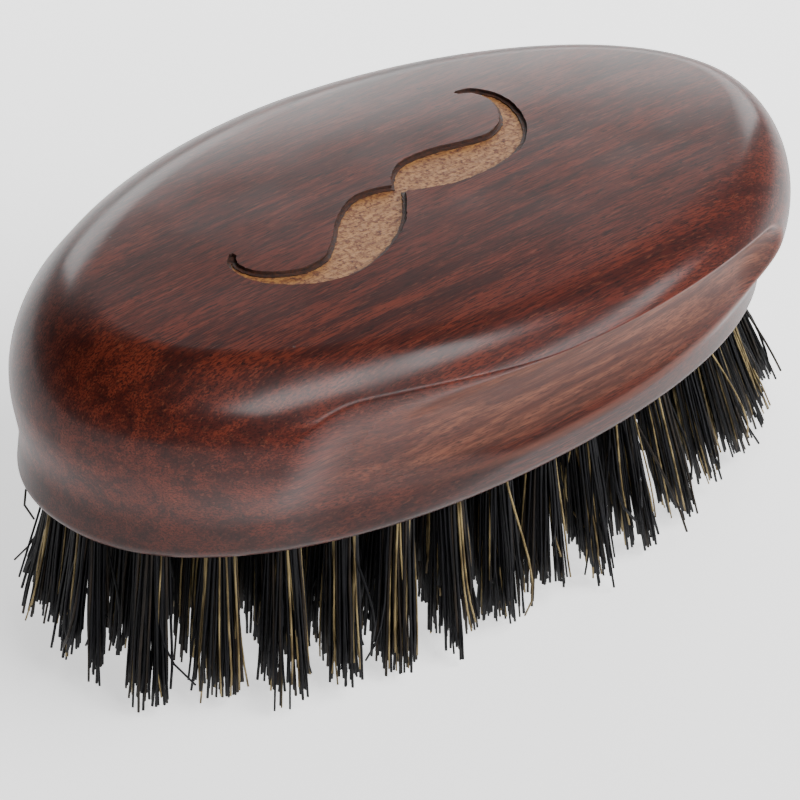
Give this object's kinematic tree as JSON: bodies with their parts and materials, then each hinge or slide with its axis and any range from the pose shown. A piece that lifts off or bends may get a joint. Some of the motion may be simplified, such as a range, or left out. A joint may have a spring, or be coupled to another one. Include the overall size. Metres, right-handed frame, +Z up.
{
  "type": "beard brush",
  "caption": "Oval palm-held beard brush: solid stained wood block with a finger cove along each long side and mixed boar bristle set in rings of tufts.",
  "frame": {"origin": "under the middle of the block, on the plane of the trimmed bristle tips that the brush stands on", "axes": "+X along the block's long side, +Y across it, +Z up from the bristle tips to the palm side of the block"},
  "size_m": [0.1, 0.05, 0.04],
  "materials": {
    "stained_wood": "satin",
    "boar_bristle": "matte"
  },
  "bodies": {
    "root": {"block": "stained_wood", "tuft_outer_01": "boar_bristle", "tuft_outer_02": "boar_bristle", "tuft_outer_03": "boar_bristle", "tuft_outer_04": "boar_bristle", "tuft_outer_05": "boar_bristle", "tuft_outer_06": "boar_bristle", "tuft_outer_07": "boar_bristle", "tuft_outer_08": "boar_bristle", "tuft_outer_09": "boar_bristle", "tuft_outer_10": "boar_bristle", "tuft_outer_11": "boar_bristle", "tuft_outer_12": "boar_bristle", "tuft_outer_13": "boar_bristle", "tuft_outer_14": "boar_bristle", "tuft_outer_15": "boar_bristle", "tuft_outer_16": "boar_bristle", "tuft_outer_17": "boar_bristle", "tuft_outer_18": "boar_bristle", "tuft_outer_19": "boar_bristle", "tuft_outer_20": "boar_bristle", "tuft_outer_21": "boar_bristle", "tuft_outer_22": "boar_bristle", "tuft_outer_23": "boar_bristle", "tuft_outer_24": "boar_bristle", "tuft_outer_25": "boar_bristle", "tuft_outer_26": "boar_bristle", "tuft_outer_27": "boar_bristle", "tuft_outer_28": "boar_bristle", "tuft_outer_29": "boar_bristle", "tuft_outer_30": "boar_bristle", "tuft_outer_31": "boar_bristle", "tuft_outer_32": "boar_bristle", "tuft_second_01": "boar_bristle", "tuft_second_02": "boar_bristle", "tuft_second_03": "boar_bristle", "tuft_second_04": "boar_bristle", "tuft_second_05": "boar_bristle", "tuft_second_06": "boar_bristle", "tuft_second_07": "boar_bristle", "tuft_second_08": "boar_bristle", "tuft_second_09": "boar_bristle", "tuft_second_10": "boar_bristle", "tuft_second_11": "boar_bristle", "tuft_second_12": "boar_bristle", "tuft_second_13": "boar_bristle", "tuft_second_14": "boar_bristle", "tuft_second_15": "boar_bristle", "tuft_second_16": "boar_bristle", "tuft_second_17": "boar_bristle", "tuft_second_18": "boar_bristle", "tuft_second_19": "boar_bristle", "tuft_second_20": "boar_bristle", "tuft_second_21": "boar_bristle", "tuft_second_22": "boar_bristle", "tuft_second_23": "boar_bristle", "tuft_second_24": "boar_bristle", "tuft_second_25": "boar_bristle", "tuft_second_26": "boar_bristle", "tufts_centre": "boar_bristle"}
  },
  "joints": []
}
